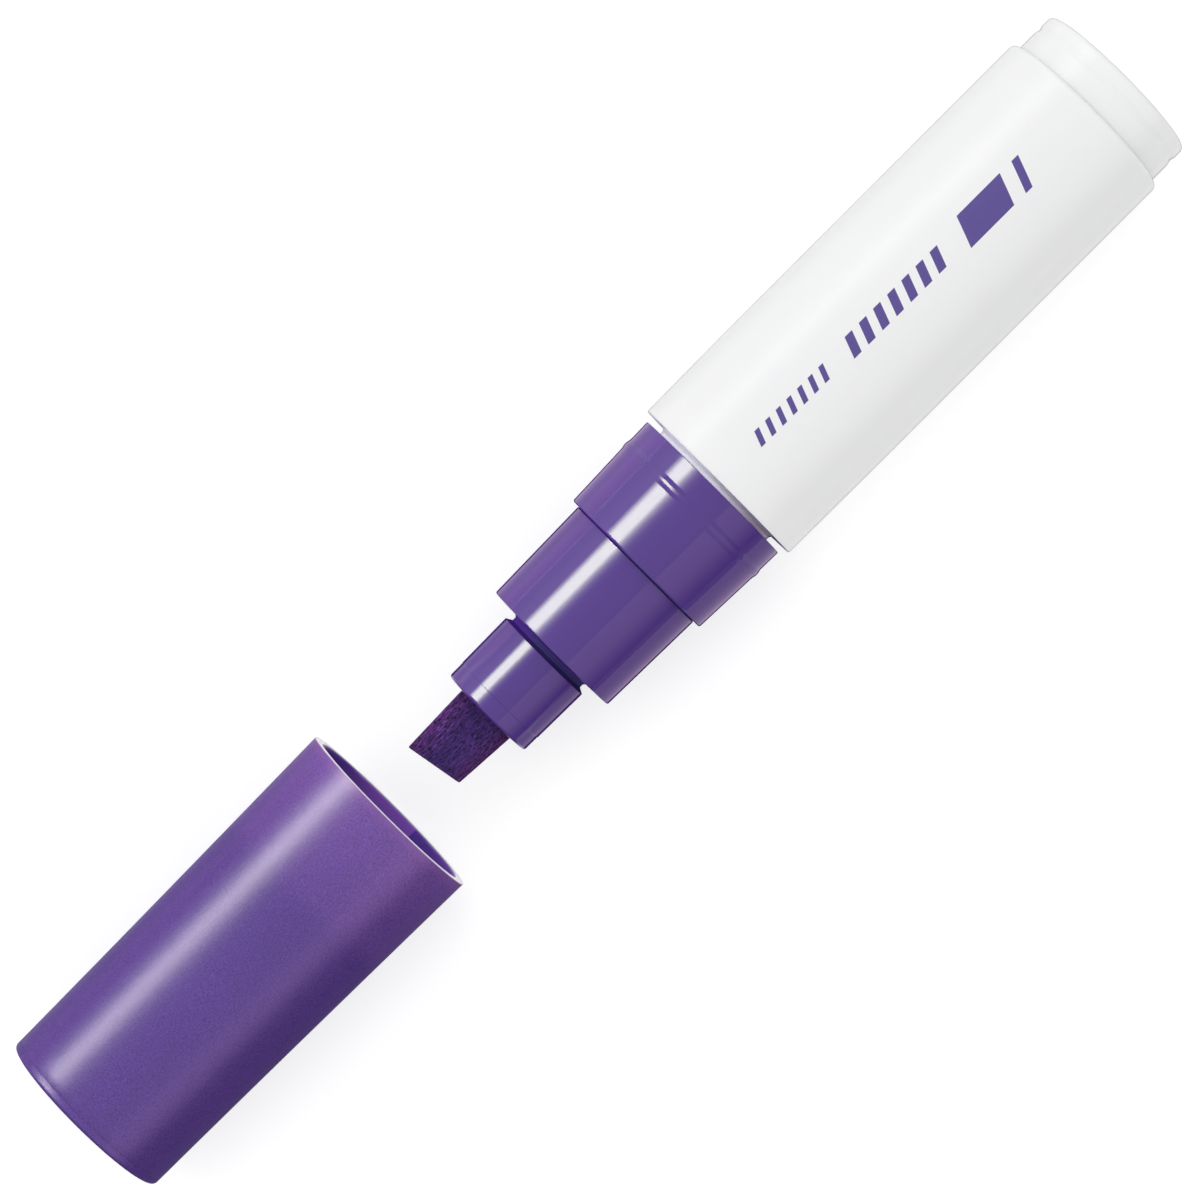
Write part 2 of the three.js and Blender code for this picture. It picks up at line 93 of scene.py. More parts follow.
# Rounds the corners of an outline of (x, radius, fillet), with a support point beside each arc
def rounded(outline, support=0.06, stepAngle=12):
    points = []
    onAxis = outline[0][1] == 0 and outline[-1][1] == 0
    count = len(outline)
    for i, corner in enumerate(outline):
        here = Vector(corner[:2])
        fillet = corner[2] if len(corner) > 2 else 0
        if onAxis and i in (0, count - 1) or not fillet:
            points.append(here)
            continue
        toLast = Vector(outline[i - 1][:2]) - here
        toNext = Vector(outline[(i + 1) % count][:2]) - here
        turn = math.pi - toLast.angle(toNext)
        room = 0.45 * min(toLast.length, toNext.length)
        tangent = min(fillet * math.tan(turn / 2), room)
        fillet = tangent / math.tan(turn / 2)
        lastSide, nextSide = toLast.normalized(), toNext.normalized()
        bisector = (lastSide + nextSide).normalized()
        middle = here + bisector * math.hypot(tangent, fillet)
        start = here + lastSide * tangent - middle
        end = here + nextSide * tangent - middle
        if tangent + support < room:
            points.append(here + lastSide * (tangent + support))
        steps = max(2, math.ceil(math.degrees(turn) / stepAngle))
        sweep = math.copysign(turn, start.x * end.y - start.y * end.x)
        for step in range(steps + 1):
            angle = math.atan2(start.y, start.x) + sweep * step / steps
            points.append(middle + Vector((math.cos(angle), math.sin(angle))) * fillet)
        if tangent + support < room:
            points.append(here + nextSide * (tangent + support))
    return points


# Turns an outline about the marker's axis
def lathe(name, outline, sides):
    onAxis = outline[0][1] == 0 and outline[-1][1] == 0
    turns = [2 * math.pi * i / sides for i in range(sides)]
    rings = []
    for x, radius in rounded(outline):
        if radius < 1e-6:
            rings.append([(x, 0, 0)])
        else:
            rings.append([(x, radius * math.cos(a), radius * math.sin(a)) for a in turns])
    return skin(name, rings, closed=not onAxis)


# Points round a rectangle with round corners, in the plane across the axis
def roundedRectangle(width, height, corner, along=1, up=1, cornerSteps=5):
    w, h = width / 2 - corner, height / 2 - corner
    middles = [(w, h), (-w, h), (-w, -h), (w, -h)]
    points = []
    for quarter, (x, y) in enumerate(middles):
        for step in range(cornerSteps + 1):
            angle = math.pi / 2 * (quarter + step / cornerSteps)
            points.append((x + corner * math.cos(angle), y + corner * math.sin(angle)))
        nextX, nextY = middles[(quarter + 1) % 4]
        lastX, lastY = points[-1]
        steps = up if quarter % 2 else along
        for step in range(1, steps):
            points.append((lastX + (nextX - x) * step / steps, lastY + (nextY - y) * step / steps))
    return points


# A bar that cuts a slot away from the axis, turned about the axis
def slotCutter(name, front, rear, width, inner, outer, turn):
    corners = [(-width / 2, inner), (width / 2, inner), (width / 2, outer), (-width / 2, outer)]
    turned = [(a * math.cos(turn) - b * math.sin(turn), a * math.sin(turn) + b * math.cos(turn))
              for a, b in corners]
    return skin(name, [[(x, y, z) for y, z in turned] for x in (front, rear)], capEnds=True)


# Cuts pieces out of a piece, and deletes them
def carve(piece, cutters, sharpAngle=28):
    for cutter in cutters:
        cut = piece.modifiers.new("cut", "BOOLEAN")
        cut.operation = "DIFFERENCE"
        cut.solver = "EXACT"
        cut.object = cutter
    bpy.context.view_layer.update()
    carved = piece.evaluated_get(bpy.context.evaluated_depsgraph_get())
    mesh = bpy.data.meshes.new_from_object(carved)
    piece.modifiers.clear()
    piece.data = mesh
    for cutter in cutters:
        bpy.data.objects.remove(cutter)
    smooth(piece, sharpAngle)
    return piece


# A tube along points, used for the spring
def tube(name, path, radius, sides=14):
    rings = []
    for i, point in enumerate(path):
        ahead = (path[min(i + 1, len(path) - 1)] - path[max(i - 1, 0)]).normalized()
        outwards = Vector((0, point.y, point.z)).normalized()
        across = ahead.cross(outwards).normalized()
        outwards = across.cross(ahead)
        rings.append([
            point + radius * (math.cos(a) * outwards + math.sin(a) * across)
            for a in (2 * math.pi * k / sides for k in range(sides))
        ])
    return skin(name, rings, capEnds=True)


# Puts a finished piece on its body, in place of its CAD node
def fit(piece, body, material, slot, *nodes):
    piece.data.materials.clear()
    piece.data.materials.append(material)
    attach(piece, body)
    if nodes:
        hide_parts(*nodes)
    for start, pieces in litPieces.items():
        if slot.startswith(start):
            pieces.objects.link(piece)
    return piece


# Puts a second material on the faces whose middle lies between two places along the marker
def coverFaces(piece, material, low, high):
    piece.data.materials.append(material)
    for face in piece.data.polygons:
        if low <= face.center.x / mm <= high:
            face.material_index = 1


# Materials

# One socket in a material's tree. Arithmetic on it adds Math nodes.
class Wire:
    def __init__(self, tree, socket=None):
        self.tree = tree
        self.socket = socket

    def node(self, kind, settings=None, sockets=None, output=0):
        made = self.tree.nodes.new(kind)
        for key, value in (settings or {}).items():
            setattr(made, key, value)
        for key, value in (sockets or {}).items():
            if isinstance(value, Wire):
                self.tree.links.new(value.socket, made.inputs[key])
            else:
                made.inputs[key].default_value = value
        return Wire(self.tree, made.outputs[output])

    def math(self, operation, *operands):
        return self.node("ShaderNodeMath", {"operation": operation}, dict(enumerate(operands)))

    def __add__(self, other):
        return self.math("ADD", self, other)

    def __radd__(self, other):
        return self.math("ADD", other, self)

    def __sub__(self, other):
        return self.math("SUBTRACT", self, other)

    def __rsub__(self, other):
        return self.math("SUBTRACT", other, self)

    def __mul__(self, other):
        return self.math("MULTIPLY", self, other)

    def __rmul__(self, other):
        return self.math("MULTIPLY", other, self)

    def __truediv__(self, other):
        return self.math("DIVIDE", self, other)

    def __rtruediv__(self, other):
        return self.math("DIVIDE", other, self)

    def __pow__(self, other):
        return self.math("POWER", self, other)

    def __abs__(self):
        return self.math("ABSOLUTE", self)

    def atLeast(self, other):
        return self.math("MAXIMUM", self, other)

    def atMost(self, other):
        return self.math("MINIMUM", self, other)

    # 0 below low, 1 above high, smooth between
    def rise(self, low, high):
        return self.node("ShaderNodeMapRange", {"interpolation_type": "SMOOTHSTEP"},
                         {"Value": self, "From Min": low, "From Max": high})

    # 1 between low and high, 0 outside, with a soft edge
    def band(self, low, high, edge):
        return self.rise(low - edge, low + edge) * (1 - self.rise(high - edge, high + edge))

    # The first colour where this is 0, the second where it is 1
    def colours(self, first, second):
        return self.node("ShaderNodeMix", {"data_type": "RGBA"}, {0: self, 6: first, 7: second}, 2)

    # One colour, its darker share where this is 0 and its lighter share where this is 1
    def tones(self, colour, darker, lighter):
        return self.colours(rgba(colour, darker), rgba(colour, lighter))

    def stretch(self, factors):
        return self.node("ShaderNodeVectorMath", {"operation": "MULTIPLY"}, {0: self, 1: factors})

    def noise(self, scale, detail=2, rough=0.5):
        return self.node("ShaderNodeTexNoise", {},
                         {"Vector": self, "Scale": scale, "Detail": detail, "Roughness": rough})

    def parts(self):
        split = self.node("ShaderNodeSeparateXYZ", {}, {0: self}).socket.node
        return [Wire(self.tree, socket) for socket in split.outputs]

    # A normal bumped by this height, in millimetres
    def bump(self, depth, strength=1):
        return self.node("ShaderNodeBump", {},
                         {"Height": self, "Distance": depth * mm, "Strength": strength})


def rgba(colour, share=1):
    return [c * share for c in colour] + [1]


# A principled material: fixed numbers on its own sockets, and what paint() makes from the place in mm
def makeMaterial(name, fixed, paint):
    material = bpy.data.materials.new(name)
    material.use_nodes = True
    tree = material.node_tree
    shader = tree.nodes["Principled BSDF"]
    for key, value in fixed.items():
        shader.inputs[key].default_value = value
    place = Wire(tree).node("ShaderNodeTexCoord", output="Object").stretch([1 / mm] * 3)
    for key, wire in paint(place).items():
        tree.links.new(wire.socket, shader.inputs[key])
    return material


print("stage: materials")

glossPurple = {
    "colour": (0.0664, 0.028, 0.196), "cloud": 0.05, "roughness": 0.03, "smudge": 0.03,
    "waviness": 0.0012, "scratch": 0.0007, "ior": 1.45, "specular": 0.24,
    "neckShadeColour": (0.046, 0.034, 0.155), "neckLitColour": (0.075, 0.024, 0.25), "neckRoughness": 0.6,
    "neckSpecular": 0.02,
}


def paintGloss(place):
    look = glossPurple
    cloud = place.noise(0.12, 3)
    smudge = place.stretch((0.25, 1, 1)).noise(0.35, 4, 0.6)
    scratch = place.stretch((0.06, 1, 1)).noise(5, 2, 0.7).rise(0.62, 0.72)
    height = place.noise(0.45, 1) * look["waviness"] - scratch * look["scratch"]
    return {
        "Base Color": cloud.tones(look["colour"], 1 - look["cloud"], 1 + look["cloud"]),
        "Roughness": look["roughness"] + smudge.rise(0.4, 0.75) * look["smudge"] + scratch * 0.06,
        "Normal": height.bump(1),
    }


# The nozzle's neck and the edges at the joints are matt, with painted shade: a darker purple in these
# narrow gaps, painted lighter towards the key's side (+Y)
def paintNeckShade(place):
    look = glossPurple
    grain = place.noise(4, 3)
    keySide = place.parts()[1].rise(1, 5) + (grain - 0.5) * 0.2
    return {
        "Base Color": keySide.colours(rgba(look["neckShadeColour"]), rgba(look["neckLitColour"])),
        "Roughness": look["neckRoughness"] + (grain - 0.5) * 0.1,
        "Normal": (grain * 0.002).bump(1),
    }


glossFixed = {"IOR": glossPurple["ior"], "Specular IOR Level": glossPurple["specular"]}
gloss = makeMaterial("purple_gloss", glossFixed, paintGloss)
shadedMattPurple = makeMaterial("purple_matt_painted_shade", {"Specular IOR Level": glossPurple["neckSpecular"]}, paintNeckShade)

satinPurple = {
    "colour": (0.0667, 0.0308, 0.177), "mouthLitColour": (0.112, 0.05, 0.232),
    "boreLitColour": (0.2, 0.08, 0.43), "boreShade": (0.085, 0.035, 0.29), "lipLitColour": (0.21, 0.085, 0.27),
    "rimHighlightColour": (0.45, 0.4, 0.5), "fleck": 1.7, "roughness": 0.28,
    "grainSize": 5.5, "grain": 0.022, "boreRadius": 12.3, "boreRoughness": 0.12, "rimRoughness": 0.05,
    "mouth": -60.36, "ior": 1.45, "specular": 0.08, "edgeDepth": 1.6, "edgeShare": 0.35, "boreDepth": 16,
}


def paintSatin(place):
    look = satinPurple
    x, y, z = place.parts()
    radius = (y * y + z * z) ** 0.5
    outside = radius.rise(look["boreRadius"] - 0.05, look["boreRadius"] + 0.05)
    grain = place.noise(look["grainSize"], 2, 0.6)
    fleck = place.noise(look["grainSize"] * 0.9, 1)
    cloud = place.noise(0.08, 3)
    tone = 0.5 + (fleck - 0.5) * look["fleck"] * outside + (cloud - 0.5) * 0.12
    # Painted light: round the mouth the colour turns lighter and pinker, standing in for light through the
    # thin wall
    inside = look["mouth"] - x
    mouthLight = inside.rise(17.1, 13.1) * 0.45 + inside.rise(13.6, -3.4) * 0.55
    # The rim face is painted near white, a painted highlight
    rim = inside.rise(0.12, 0.04)
    darker = mouthLight.colours(rgba(look["colour"], 0.6), rgba(look["mouthLitColour"], 0.6))
    lighter = mouthLight.colours(rgba(look["colour"], 1.4), rgba(look["mouthLitColour"], 1.4))
    # The bore is painted lighter near the mouth, painted light, and darker towards both sides, painted
    # shade and reflection
    lit = inside.rise(look["boreDepth"], 0) * (1 - outside)
    otherSide = 0 - y
    shade = y.rise(2, 9) * 0.8 + otherSide.rise(4.1, 4.4) * (1 - otherSide.rise(6, 12) * 0.7)
    bore = shade.colours(rgba(look["boreLitColour"]), rgba(look["boreShade"]))
    rough = look["boreRoughness"] + outside * (look["roughness"] - look["boreRoughness"])
    rough = rough + (cloud - 0.5) * 0.06
    # A lighter pink band at the lip, painted light
    edge = inside.rise(look["edgeDepth"], 0) * look["edgeShare"]
    body = edge.colours(tone.colours(darker, lighter), rgba(look["lipLitColour"]))
    return {
        "Base Color": rim.colours(lit.colours(body, bore), rgba(look["rimHighlightColour"])),
        "Roughness": rough + rim * (look["rimRoughness"] - rough),
        "Normal": (grain * outside * look["grain"]).bump(1),
    }


satinFixed = {"IOR": satinPurple["ior"], "Specular IOR Level": satinPurple["specular"]}
satin = makeMaterial("purple_satin", satinFixed, paintSatin)

whitePlastic = {
    "colour": (0.825, 0.828, 0.835), "roughness": 0.2, "waviness": 0.0012, "specular": 0.25,
    "softness": 0.2, "softDepth": 0.003, "through": (0.3, 0.29, 0.335), "throughFrom": (-9, 2),
    "shoulderShade": (-0.8, -0.1), "purpleShade": (0.68, 0.58, 0.74),
}

# The print on the barrel: slanted blocks and rows of slanted bars. Each row is (from, to, low, high,
# period, bar), along and round the barrel.
barrelPrint = {
    "colour": (0.098, 0.068, 0.262), "slant": 0.373, "edge": 0.035, "inkHeight": 0.006, "radius": 13.1,
    "rows": ((7.1, 20.5, -0.8, 1.3, 1.92, 0.85), (23.6, 41.4, -1.2, 1.65, 2.55, 1.35)),
    "blocks": ((44.33, 52.1, -1.75, 2.49), (54.2, 55.4, -1.75, 2.49)),
}


def printMask(place):
    x, y, z = place.parts()
    arc = y.math("ARCTAN2", y, z) * barrelPrint["radius"]
    slanted = x - arc * barrelPrint["slant"]
    edge = barrelPrint["edge"]
    mask = 0
    for start, end, low, high, period, bar in barrelPrint["rows"]:
        inPeriod = x.math("FRACT", (slanted - start) / period) * period
        row = slanted.band(start - 0.02, end, edge) * arc.band(low, high, edge)
        mask = mask + row * inPeriod.band(edge, bar, edge)
    for start, end, low, high in barrelPrint["blocks"]:
        mask = mask + slanted.band(start, end, edge) * arc.band(low, high, edge)
    return mask * z.rise(0, 1)


def paintWhite(place, printed=False):
    look = whitePlastic
    cloud = place.noise(0.1, 3)
    smudge = place.stretch((0.3, 1, 1)).noise(0.5, 4, 0.6).rise(0.45, 0.8)
    height = place.noise(0.4, 1) * look["waviness"]
    colour = cloud.tones(look["colour"], 0.985, 1.01)
    rough = look["roughness"] + smudge * 0.05
    if printed:
        mask = printMask(place)
        speck = place.noise(6, 3, 0.7).rise(0.3, 0.7)
        colour = mask.colours(colour, speck.tones(barrelPrint["colour"], 0.94, 1.05))
        rough = rough + mask * 0.12
        height = height + mask * barrelPrint["inkHeight"]
    return {"Base Color": colour, "Roughness": rough, "Normal": height.bump(1)}


whiteFixed = {"IOR": 1.45, "Specular IOR Level": whitePlastic["specular"],
              "Subsurface Weight": whitePlastic["softness"], "Subsurface Radius": (1, 1, 1),
              "Subsurface Scale": whitePlastic["softDepth"]}
white = makeMaterial("white_plastic", whiteFixed, paintWhite)
printedWhite = makeMaterial("white_plastic_printed", whiteFixed, lambda place: paintWhite(place, True))


# In the narrow slot behind the collar the ring glows, a painted light standing in for light that comes
# through the plastic from the key's side; it has painted shade by the shoulder and a painted purple-tinted
# shade on the other side
def paintNeckGlow(place):
    look = whitePlastic
    x, y, z = place.parts()
    shoulder = x.rise(*look["shoulderShade"]) * (0.9 - y.rise(-3, 7) * 0.6)
    through = y.rise(*look["throughFrom"])
    return {
        **paintWhite(place),
        "Base Color": through.colours(rgba(look["purpleShade"]), rgba(look["colour"])),
        "Emission Color": (through * (1 - shoulder)).colours(rgba((0, 0, 0)), rgba(look["through"])),
    }


glowingNeckWhite = makeMaterial("white_plastic_neck_painted_glow", {**whiteFixed, "Emission Strength": 1}, paintNeckGlow)

naturalPlastic = {"colour": (0.74, 0.75, 0.78), "roughness": 0.42, "grain": 0.002}


def paintNatural(place):
    look = naturalPlastic
    cloud = place.noise(0.3, 3)
    return {
        "Base Color": cloud.tones(look["colour"], 0.92, 1.05),
        "Roughness": look["roughness"] + (cloud - 0.5) * 0.15,
        "Normal": (place.noise(3, 3) * look["grain"]).bump(1),
    }


naturalFixed = {"Subsurface Weight": 0.15, "Subsurface Scale": 0.0015}
natural = makeMaterial("natural_plastic", naturalFixed, paintNatural)

rubberLook = {"colour": (0.045, 0.045, 0.05), "roughness": 0.75, "grain": 0.01}


def paintRubber(place):
    grain = place.noise(5, 4, 0.7)
    return {
        "Base Color": grain.tones(rubberLook["colour"], 0.8, 1.4),
        "Roughness": rubberLook["roughness"] + (grain - 0.5) * 0.2,
        "Normal": (grain * rubberLook["grain"]).bump(1),
    }


rubber = makeMaterial("seal_rubber", {}, paintRubber)

wireLook = {"colour": (0.56, 0.57, 0.59), "roughness": 0.24, "draw": 0.0015}


def paintWire(place):
    drawn = place.stretch((6, 1, 1)).noise(2.5, 4, 0.7)
    return {
        "Base Color": drawn.tones(wireLook["colour"], 0.85, 1.08),
        "Roughness": wireLook["roughness"] + (drawn - 0.5) * 0.16,
        "Normal": (drawn * wireLook["draw"]).bump(1),
    }


springSteel = makeMaterial("spring_steel", {"Metallic": 1}, paintWire)

ballLook = {"colour": (0.62, 0.63, 0.65), "roughness": 0.09}


def paintBall(place):
    film = place.noise(0.5, 4, 0.6)
    nick = place.noise(3, 2, 0.7).rise(0.66, 0.74)
    return {
        "Base Color": film.tones(ballLook["colour"], 0.9, 1.05),
        "Roughness": ballLook["roughness"] + film.rise(0.4, 0.7) * 0.1 + nick * 0.15,
        "Normal": (nick * -0.004).bump(1),
    }


ballSteel = makeMaterial("ball_steel", {"Metallic": 1}, paintBall)

nibFibre = {
    "core": (0.062, 0.027, 0.165), "litLongSide": (0.125, 0.034, 0.19), "shadedShortSide": (0.085, 0.021, 0.115),
    "pit": (0.014, 0.007, 0.042), "strand": (0.2, 0.07, 0.37), "fibreSize": 4, "fibreDepth": 0.045,
    "roughness": 0.85, "specular": 0.15,
}


def paintNib(place):
    look = nibFibre
    x, y, z = place.parts()
    along = place.stretch((0.3, 1, 1))
    strands = along.noise(look["fibreSize"], 5, 0.65)
    fine = along.noise(look["fibreSize"] * 2.6, 3, 0.6)
    pits = place.stretch((0.4, 1, 1)).noise(look["fibreSize"] * 1.1, 2, 0.5).rise(0.42, 0.385)
    bright = place.stretch((0.12, 1, 1)).noise(look["fibreSize"] * 1.5, 2, 0.5).rise(0.56, 0.61)
    # Painted light and shade: the bright strands are stronger towards the key's side (+Y), and the sides
    # are painted lighter and magenta there, darker and maroon on the other side
    bright = bright * (0.35 + y.rise(-1, 4) * 0.65)
    sides = y.rise(0.8, 4.3).colours(rgba(look["core"]), rgba(look["litLongSide"]))
    sides = (0 - y).rise(1.2, 4.3).colours(sides, rgba(look["shadedShortSide"]))
    dyed = (strands.rise(0.3, 0.7) * 0.75).colours(sides, rgba(look["pit"]))
    dyed = (bright * 0.65).colours(dyed, rgba(look["strand"]))
    height = strands * 0.7 + fine * 0.3 - pits * 0.5
    return {
        "Base Color": (pits * 0.95).colours(dyed, rgba(look["pit"])),
        "Roughness": look["roughness"] + (strands - 0.5) * 0.2,
        "Normal": height.bump(look["fibreDepth"]),
    }


fibre = makeMaterial("nib_fibre", {"Specular IOR Level": nibFibre["specular"]}, paintNib)


# Camera, lights and floor

print("stage: camera and light")

photoView = {
    "above": 9.05, "height": 714.0, "lens": 164.78, "sensor": 36.0, "aimX": -0.05, "roll": -45.0,
}


def addCamera():
    look = photoView
    data = bpy.data.cameras.new("photo_camera")
    data.lens = look["lens"]
    data.sensor_width = look["sensor"]
    data.sensor_height = look["sensor"]
    data.clip_end = 20
    camera = bpy.data.objects.new("photo_camera", data)
    bpy.context.scene.collection.objects.link(camera)
    camera.location = (look["above"] * mm, 0, look["height"] * mm + markerAxis.z)
    lean = math.atan((look["above"] - look["aimX"]) / look["height"])
    # Looks straight down, leans a little towards the cap, and rolls the marker onto the diagonal
    ahead = Vector((-math.sin(lean), 0, -math.cos(lean)))
    roll = math.radians(look["roll"])
    right = Vector((math.cos(roll), math.sin(roll), 0))
    right = (right - ahead * right.dot(ahead)).normalized()
    basis = Matrix((right, right.cross(ahead), -ahead)).transposed()
    camera.rotation_euler = basis.to_euler()
    bpy.context.scene.camera = camera
    return camera


addCamera()

# Each lamp: angle from overhead towards the +Y side, distance, place along the marker, size along and
# across it, brightness as seen, and which finish it shines on. A lamp shows as a reflection, and a plain
# one only gives light. One that fades has a power and two shares of its width: it brightens up to the
# first from its -Y side, and its +Y edge is soft from the second. Lamps are white unless tinted.
lamps = {
    "frontStrip": {"angle": 33, "distance": 0.7, "along": 0.01, "size": (0.3, 0.683), "glow": 42,
                   "tint": (1, 1.04, 0.82), "on": "purple_gloss", "fade": (6, 0.56, 0.76)},
    "capStrip": {"angle": 50, "distance": 0.7, "along": -0.14, "size": (0.5, 0.5), "glow": 77,
                 "tint": (1, 1.02, 0.82), "on": "purple_satin", "fade": (3, 0.62, 0.9)},
    "barrelStrip": {"angle": 50, "distance": 0.7, "along": 0.09, "size": (1.0, 0.26), "glow": 2.0,
                    "on": "white_plastic", "fade": (1, 0.62, 0.9)},
    "frontCard": {"angle": -59.5, "distance": 0.7, "along": 0.01, "size": (0.4, 0.76), "glow": 1.2,
                  "tint": (1.12, 0.6, 1), "on": "purple_gloss", "fade": (0.6, 1, 0.99)},
    "capCard": {"angle": -59, "distance": 0.7, "along": -0.1, "size": (1.2, 0.36), "glow": 7.5,
                "tint": (1.15, 0.85, 0.9), "on": "purple_satin"},
    "capCeiling": {"angle": -6, "distance": 0.7, "along": -0.1, "size": (1.2, 1.5), "glow": 5.4,
                   "on": "purple_satin"},
    "capSide": {"angle": 79, "distance": 0.7, "along": -0.1, "size": (1.2, 0.27), "glow": 6,
                "on": "purple_satin"},
    "plugStrip": {"angle": 45, "distance": 0.7, "along": 0.2, "size": (0.07, 0.08), "glow": 3,
                  "on": "white_plastic"},
    "nearCard": {"angle": 75, "distance": 0.8, "along": 0, "size": (1.6, 0.58), "glow": 2.2},
    "key": {"angle": 34, "distance": 1.0, "along": 0, "size": (1.2, 0.9), "glow": 0.72, "plain": True},
    "purpleKey": {"angle": 61.5, "distance": 1.0, "along": 0, "size": (1.2, 0.9), "glow": 1.55,
                  "plain": True, "on": "purple"},
    "lowLeft": {"angle": 84, "distance": 0.7, "along": 0.1, "size": (1.2, 0.14), "glow": 0.5,
                "plain": True, "on": "white_plastic"},
    "lowRight": {"angle": -84, "distance": 0.7, "along": 0.1, "size": (1.2, 0.14), "glow": 0.5,
                 "plain": True, "on": "white_plastic"},
}
# The pieces of a finish, or of all finishes that start alike, for the lamps that shine only on them
litPieces = {start: bpy.data.collections.new(f"lit_{start}")
             for start in ("purple", "purple_gloss", "purple_satin", "white_plastic")}


def addLamp(name, look):
    data = bpy.data.lights.new(name, "AREA")
    data.shape = "RECTANGLE"
    data.size, data.size_y = look["size"]
    data.energy = look["glow"] * math.pi * data.size * data.size_y
    data.color = look.get("tint", (1, 1, 1))
    lamp = bpy.data.objects.new(name, data)
    bpy.context.scene.collection.objects.link(lamp)
    angle = math.radians(look["angle"])
    away = Vector((0, math.sin(angle), math.cos(angle)))
    lamp.location = Vector((look["along"], 0, markerAxis.z)) + away * look["distance"]
    lamp.rotation_euler = (-angle, 0, 0)
    plain = look.get("plain", False)
    lamp.visible_camera = False
    lamp.visible_diffuse = plain
    lamp.visible_glossy = not plain
    lamp.visible_transmission = not plain
    if "on" in look:
        lamp.light_linking.receiver_collection = litPieces[look["on"]]
    if "fade" in look:
        data.use_nodes = True
        tree = data.node_tree
        power, brightFrom, softFrom = look["fade"]
        across = Wire(tree).node("ShaderNodeNewGeometry", output="Parametric").parts()[1]
        reach = (across / brightFrom).atMost(1)
        level = (reach ** power * 0.95 + reach * reach * 0.05) * (1 - across.rise(softFrom, 1))
        tree.links.new(level.socket, tree.nodes["Emission"].inputs["Strength"])


for lampName, lampLook in lamps.items():
    addLamp(lampName, lampLook)

# Ambient light for matt surfaces, what glossy ones reflect low down and overhead, and the white that is
# seen behind the floor
room = {"ambient": 0.88, "low": 0.25, "overhead": 1.9, "from": 0.05, "to": 0.62, "seen": 1.0}


def addWorld():
    world = bpy.data.worlds.new("room")
    bpy.context.scene.world = world
    world.use_nodes = True
    tree = world.node_tree
    path = Wire(tree).node("ShaderNodeLightPath", output="Is Camera Ray")
    glossy = Wire(tree, path.socket.node.outputs["Is Glossy Ray"])
    height = Wire(tree).node("ShaderNodeTexCoord", output="Generated").parts()[2]
    reflected = room["low"] + height.rise(room["from"], room["to"]) * (room["overhead"] - room["low"])
    level = room["ambient"] + glossy * (reflected - room["ambient"])
    level = level + path * (room["seen"] - room["ambient"])
    tree.links.new(level.socket, tree.nodes["Background"].inputs["Strength"])
    tree.nodes["Background"].inputs["Color"].default_value = (1, 1, 1, 1)


addWorld()

# The floor is lifted to white for the camera. In reflections it is lifted too, a painted light that is
# brightest on the key's side and ends not far from the marker on the other side. It takes a painted purple
# tint from the marker's front, and has a painted shadow right under it, but not in the gap before the cap.
# On the cap's other side it stays dark, painted shade.
floorLook = {
    "side": 6.0, "drop": 0.12, "colour": 0.6, "lift": 0.57, "shine": (0.55, 1.1),
    "shineTint": (1.06, 0.69, 0.97), "shineEnd": 0.13, "keySide": 1.0, "keySideFrom": 0.028,
    "under": 0.017, "shadowColour": (0.06, 0.03, 0.1), "gap": (-0.0386, -0.024), "gapLift": 0.4,
    "barrelSide": (0.018, 0.026),
}


def addFloor():
    half = floorLook["side"] / 2
    mesh = bpy.data.meshes.new("floor")
    corners = [(-half, -half, 0), (half, -half, 0), (half, half, 0), (-half, half, 0)]
    mesh.from_pydata(corners, [], [(0, 1, 2, 3)])
    floor = bpy.data.objects.new("floor", mesh)
    floor.location.z = -floorLook["drop"] * mm
    bpy.context.scene.collection.objects.link(floor)
    material = bpy.data.materials.new("floor_paper")
    material.use_nodes = True
    tree = material.node_tree
    shader = tree.nodes["Principled BSDF"]
    shader.inputs["Roughness"].default_value = 0.9
    shader.inputs["Specular IOR Level"].default_value = 0
    start = Wire(tree)
    place = start.node("ShaderNodeTexCoord", output="Object")
    tooth = place.noise(900, 3)
    base = tooth.tones([floorLook["colour"]] * 3, 0.99, 1)
    seen = start.node("ShaderNodeLightPath", output="Is Camera Ray")
    glossy = Wire(tree, seen.socket.node.outputs["Is Glossy Ray"])
    along, across, up = place.parts()
    away = abs(across)
    gap = along.band(*floorLook["gap"], 0.0002)
    clear = gap.atLeast(away.rise(floorLook["under"] * 0.94, floorLook["under"] * 1.06))
    byCap = 1 - along.rise(floorLook["gap"][0] - 0.0002, floorLook["gap"][0])
    # Painted shadow in reflections: the floor's colour turns dark right under the marker and on the cap's
    # other side
    dark = (1 - clear).atLeast(byCap * across.rise(0, -0.01) * 0.7)
    base = (glossy * dark).colours(base, rgba(floorLook["shadowColour"]))
    tree.links.new(base.socket, shader.inputs["Base Color"])
    nearShine, farShine = floorLook["shine"]
    shine = away.rise(0.02, 0.12) * (farShine - nearShine) + nearShine
    shine = shine * across.rise(-floorLook["shineEnd"], -floorLook["shineEnd"] * 0.97)
    keySide = across.rise(floorLook["keySideFrom"], floorLook["keySideFrom"] * 2) * floorLook["keySide"]
    beside = keySide * (1 + byCap) + shine * (1 - byCap) + gap * floorLook["gapLift"]
    lift = seen * floorLook["lift"] + glossy * clear * beside
    tinted = glossy * (1 - along.rise(*floorLook["barrelSide"])) * (1 - gap)
    tint = tinted.colours((1, 1, 1, 1), rgba(floorLook["shineTint"]))
    glow = start.node("ShaderNodeEmission", {}, {"Color": tint, "Strength": lift})
    both = start.node("ShaderNodeAddShader", {}, {0: Wire(tree, shader.outputs[0]), 1: glow})
    tree.links.new(both.socket, tree.nodes["Material Output"].inputs["Surface"])
    mesh.materials.append(material)


addFloor()


